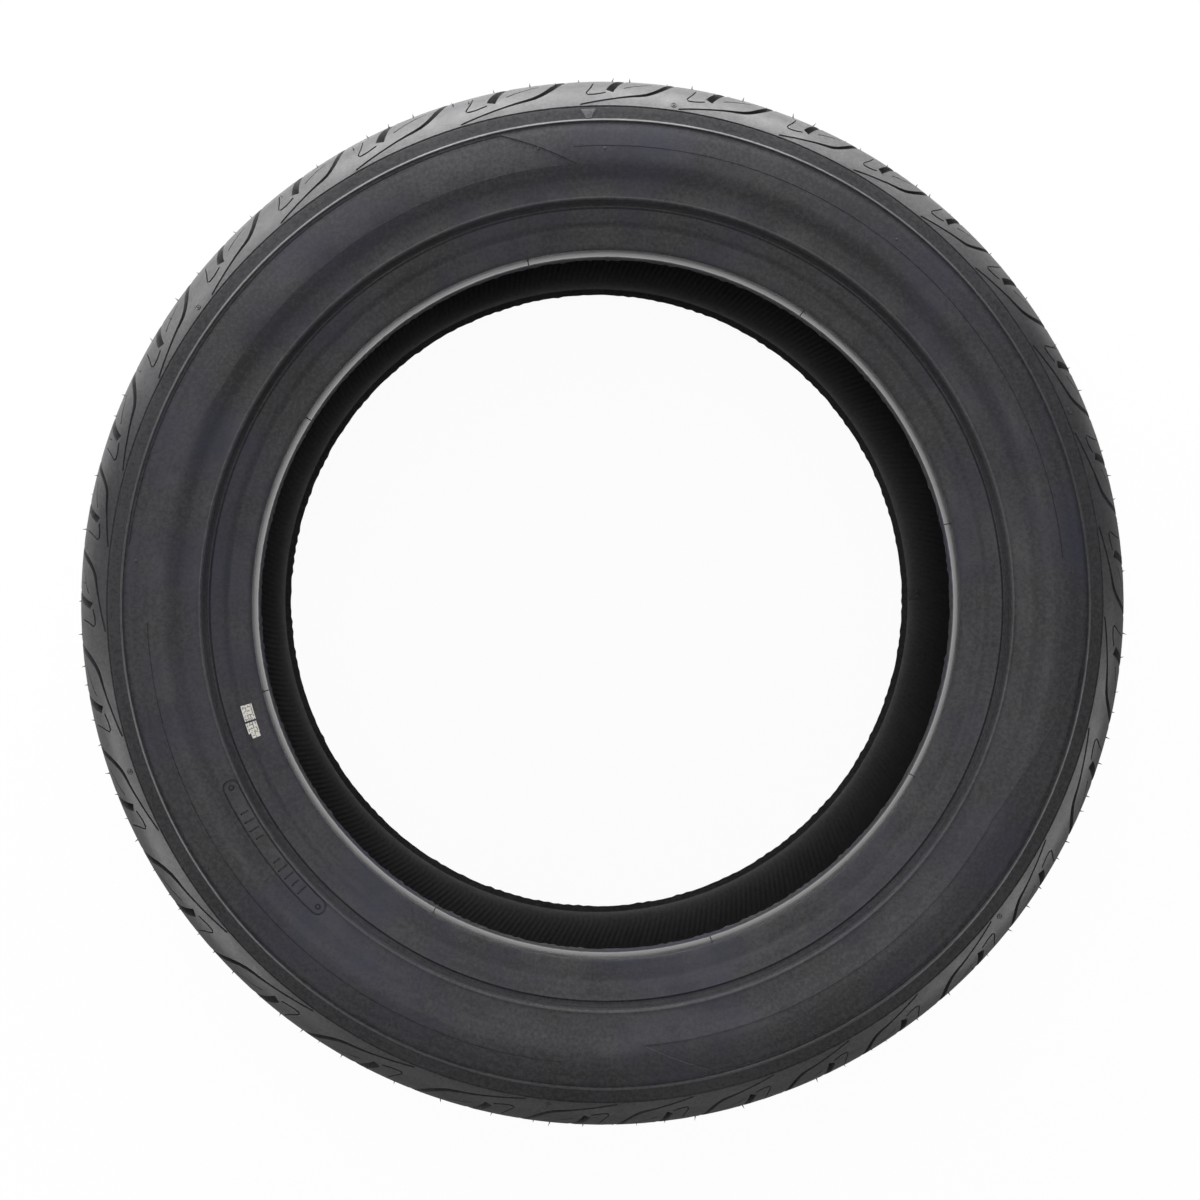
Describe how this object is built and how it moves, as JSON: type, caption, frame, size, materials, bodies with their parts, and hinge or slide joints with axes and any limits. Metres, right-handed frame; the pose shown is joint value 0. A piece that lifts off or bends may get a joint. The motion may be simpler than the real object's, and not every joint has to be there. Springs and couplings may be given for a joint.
{
  "type": "car tyre",
  "caption": "Radial road car tyre, off its rim: grooved tread, rounded shoulders, smooth sidewalls and two beads that seat on a wheel rim.",
  "frame": {"origin": "middle of the tyre, on the axle line and halfway between the two sidewalls", "axes": "+Z along the axle line, out of the sidewall that has the small label by its bead; the tyre lies on its other sidewall"},
  "size_m": [0.6679, 0.668, 0.226],
  "materials": {
    "tyre_rubber": "satin",
    "label_white": "matt"
  },
  "bodies": {
    "root": {"tyre": "tyre_rubber", "barcode_label": "label_white"}
  },
  "joints": []
}
